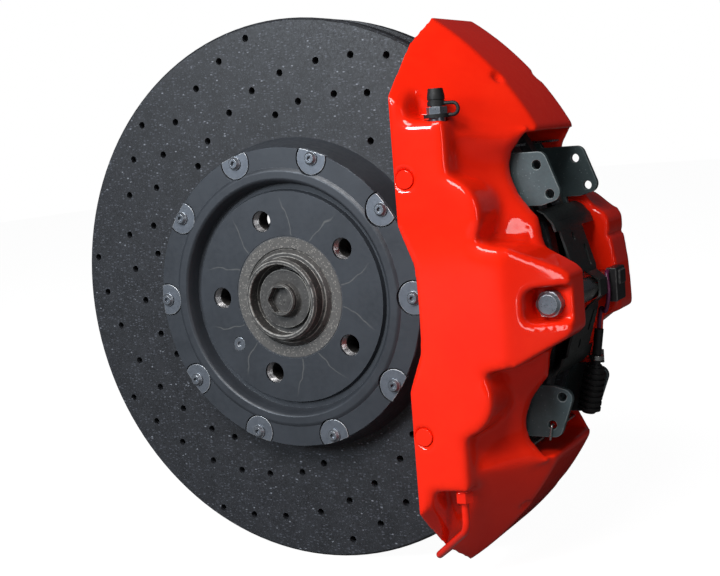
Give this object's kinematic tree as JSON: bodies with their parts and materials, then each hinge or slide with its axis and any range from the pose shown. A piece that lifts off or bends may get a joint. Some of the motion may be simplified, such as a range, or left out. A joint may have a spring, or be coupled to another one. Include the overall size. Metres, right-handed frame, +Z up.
{
  "type": "brake caliper with disc",
  "caption": "Ventilated cross-drilled brake disc on a bolted bell and wheel hub with its bearing, gripped by a fixed opposed-piston caliper with pads.",
  "frame": {"origin": "centre of the bell's wheel face, on the axle axis", "axes": "+Y inboard along the axle axis, +X from the axle to the middle of the caliper, +Z up"},
  "size_m": [0.4069, 0.178, 0.38],
  "materials": {
    "disc_ceramic": "carbon-fibre ceramic, machined, dark, flecked",
    "bell_alloy": "hard anodised slate grey satin",
    "washer_steel": "light grey phosphated",
    "bolt_steel": "zinc plated",
    "hub_steel": "rough forged",
    "bearing_steel": "ground",
    "cage_plastic": "moulded",
    "caliper_paint": "gloss red",
    "backplate_paint": "powder coated",
    "friction_material": "granular",
    "shim_steel": "coated sheet",
    "piston_alloy": "anodised",
    "stainless": "bright sheet",
    "spring_black": "black sheet steel",
    "black_rubber": "moulded",
    "pipe_coat": "painted with the caliper",
    "black_plastic": "moulded",
    "lead_sleeve": "sleeved wire"
  },
  "bodies": {
    "rotor": {"friction_ring": "disc_ceramic", "disc_bell": "bell_alloy", "bell_washers": "washer_steel", "bell_bolts": "bolt_steel", "bell_bushes": "bolt_steel", "bell_nuts": "bolt_steel", "disc_retaining_screw": "bolt_steel", "wheel_hub": "hub_steel", "axle_bolt": "hub_steel", "axle_bolt_washer": "hub_steel", "bearing_inner_races": "bearing_steel"},
    "carrier": {"bearing_outer_ring": "hub_steel", "bearing_seals": "black_rubber", "caliper_body": "caliper_paint", "blanking_plugs": "caliper_paint", "piston_seals": "black_rubber", "dust_boots": "black_rubber", "abutment_plates": "stainless", "bridge_bolt": "bolt_steel", "bridge_sleeve": "stainless", "pad_spring": "spring_black", "outboard_bleed_cap": "black_rubber", "inboard_bleed_cap": "black_rubber", "crossover_pipe": "pipe_coat", "pipe_nuts": "pipe_coat", "sensor_connector": "black_plastic", "sensor_lead": "lead_sleeve", "sensor_boot": "black_rubber", "boot_bracket": "stainless", "wire_clip": "stainless"},
    "bearing_cage": {"bearing_balls": "bearing_steel", "bearing_cages": "cage_plastic"},
    "outboard_pad": {"outboard_backplate": "backplate_paint", "outboard_friction_pad": "friction_material", "outboard_shim": "shim_steel"},
    "outboard_piston_set": {"outboard_pistons": "piston_alloy"},
    "inboard_pad": {"inboard_backplate": "backplate_paint", "inboard_friction_pad": "friction_material", "inboard_shim": "shim_steel"},
    "inboard_piston_set": {"inboard_pistons": "piston_alloy"},
    "outboard_bleeder": {"outboard_bleed_screw": "bolt_steel"},
    "inboard_bleeder": {"inboard_bleed_screw": "bolt_steel"}
  },
  "joints": [
    {"name": "disc_spin", "type": "hinge", "parent": "carrier", "child": "rotor", "pos_m": [0, 0, 0], "axis": [0, 1, 0], "continuous": true},
    {"name": "cage_spin", "type": "hinge", "parent": "carrier", "child": "bearing_cage", "pos_m": [0, 0, 0], "axis": [0, 1, 0], "continuous": true},
    {"name": "outboard_pad_slide", "type": "slide", "parent": "carrier", "child": "outboard_pad", "axis": [0, 1, 0], "range_m": [0, 0.0005]},
    {"name": "inboard_pad_slide", "type": "slide", "parent": "carrier", "child": "inboard_pad", "axis": [0, -1, 0], "range_m": [0, 0.0005]},
    {"name": "outboard_piston_slide", "type": "slide", "parent": "carrier", "child": "outboard_piston_set", "axis": [0, 1, 0], "range_m": [0, 0.0005]},
    {"name": "inboard_piston_slide", "type": "slide", "parent": "carrier", "child": "inboard_piston_set", "axis": [0, -1, 0], "range_m": [0, 0.0005]},
    {"name": "outboard_bleeder_turn", "type": "hinge", "parent": "carrier", "child": "outboard_bleeder", "pos_m": [0.1445, -0.046, 0.115], "axis": [0, 0, 1], "range_deg": [0, 180]},
    {"name": "inboard_bleeder_turn", "type": "hinge", "parent": "carrier", "child": "inboard_bleeder", "pos_m": [0.1445, 0.114, 0.115], "axis": [0, 0, 1], "range_deg": [0, 180]}
  ],
  "couplings": [
    {"joint": "cage_spin", "follows": "disc_spin", "ratio": 0.4143},
    {"joint": "inboard_pad_slide", "follows": "outboard_pad_slide", "ratio": 1},
    {"joint": "outboard_piston_slide", "follows": "outboard_pad_slide", "ratio": 1},
    {"joint": "inboard_piston_slide", "follows": "outboard_pad_slide", "ratio": 1}
  ]
}
